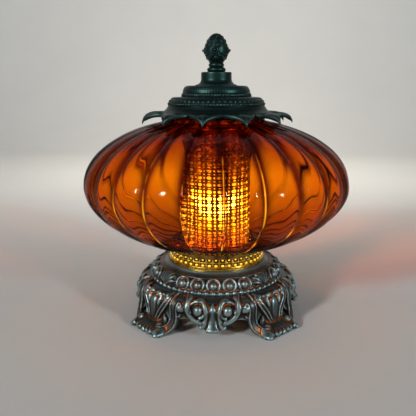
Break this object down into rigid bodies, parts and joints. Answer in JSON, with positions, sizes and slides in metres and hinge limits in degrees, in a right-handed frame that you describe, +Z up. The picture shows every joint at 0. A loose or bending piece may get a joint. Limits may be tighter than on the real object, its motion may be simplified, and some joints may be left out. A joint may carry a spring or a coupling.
{
  "type": "night light lamp",
  "caption": "Table lamp with a lobed amber glass globe on an ornate cast footed base, a pierced brass diffuser round the bulb and a lift-off petalled cap with a finial.",
  "frame": {"origin": "on the axis of the lamp, in the plane that the feet stand on", "axes": "+Z up along the lamp's axis; -Y to the front, +Y to the switch at the back; the feet lie on the diagonals"},
  "size_m": [0.2598, 0.2598, 0.2743],
  "materials": {
    "base_patina": "grey-green antique patina with red-brown recesses",
    "cap_patina": "dark green antique patina",
    "gallery_brass": "satin, pierced sheet",
    "plain_brass": "satin",
    "plated_steel": "zinc plated",
    "soft_aluminium": "satin",
    "black_plastic": "moulded, slightly glossy",
    "liner_card": "fibre card",
    "black_glass": "fused black glass",
    "bulb_glass": "clear, slightly frosted",
    "filament_wire": "lit wire",
    "amber_glass": "clear amber, optic lobes"
  },
  "bodies": {
    "base": {"foot_casting": "base_patina", "collar_casting": "base_patina", "collar_screws": "plated_steel", "seat_plate": "gallery_brass", "plate_screws": "plated_steel", "pierced_band": "gallery_brass", "lower_rim": "gallery_brass", "globe_seat": "gallery_brass", "threaded_pipe": "plain_brass", "hub_washer": "plated_steel", "hub_nuts": "plain_brass", "cord_bushing": "black_plastic", "socket_cap": "plain_brass", "socket_shell": "plain_brass", "socket_liner": "liner_card", "socket_core": "black_plastic", "screw_shell": "soft_aluminium", "centre_contact": "plain_brass", "terminal_screws": "plain_brass", "diffuser_tube": "gallery_brass", "diffuser_flange": "gallery_brass", "diffuser_rim": "gallery_brass", "switch_body": "black_plastic", "switch_bush": "plain_brass", "switch_nut": "plain_brass"},
    "globe": {"globe": "amber_glass"},
    "cap": {"cap_casting": "cap_patina", "cap_collar": "cap_patina", "cap_stud": "plain_brass", "cap_washer": "plated_steel", "cap_nut": "plain_brass"},
    "finial": {"finial": "cap_patina"},
    "bulb": {"bulb_cap": "soft_aluminium", "bulb_insulator": "black_glass", "bulb_glass": "bulb_glass", "bulb_stem": "bulb_glass", "bulb_filament": "filament_wire"},
    "switch": {"switch_shaft": "plated_steel", "switch_knob": "black_plastic"}
  },
  "joints": [
    {"name": "globe_lift", "type": "slide", "parent": "base", "child": "globe", "axis": [0, 0, 1], "range_m": [0, 0.13]},
    {"name": "cap_lift", "type": "slide", "parent": "globe", "child": "cap", "axis": [0, 0, 1], "range_m": [0, 0.04]},
    {"name": "finial_turn", "type": "hinge", "parent": "cap", "child": "finial", "pos_m": [0, 0, 0.245], "axis": [0, 0, 1], "range_deg": [0, 360]},
    {"name": "bulb_turn", "type": "hinge", "parent": "base", "child": "bulb", "pos_m": [0, 0, 0.08], "axis": [0, 0, 1], "range_deg": [0, 360]},
    {"name": "switch_turn", "type": "hinge", "parent": "base", "child": "switch", "pos_m": [0, 0.0843, 0.0204], "axis": [0, 1, 0], "continuous": true}
  ]
}
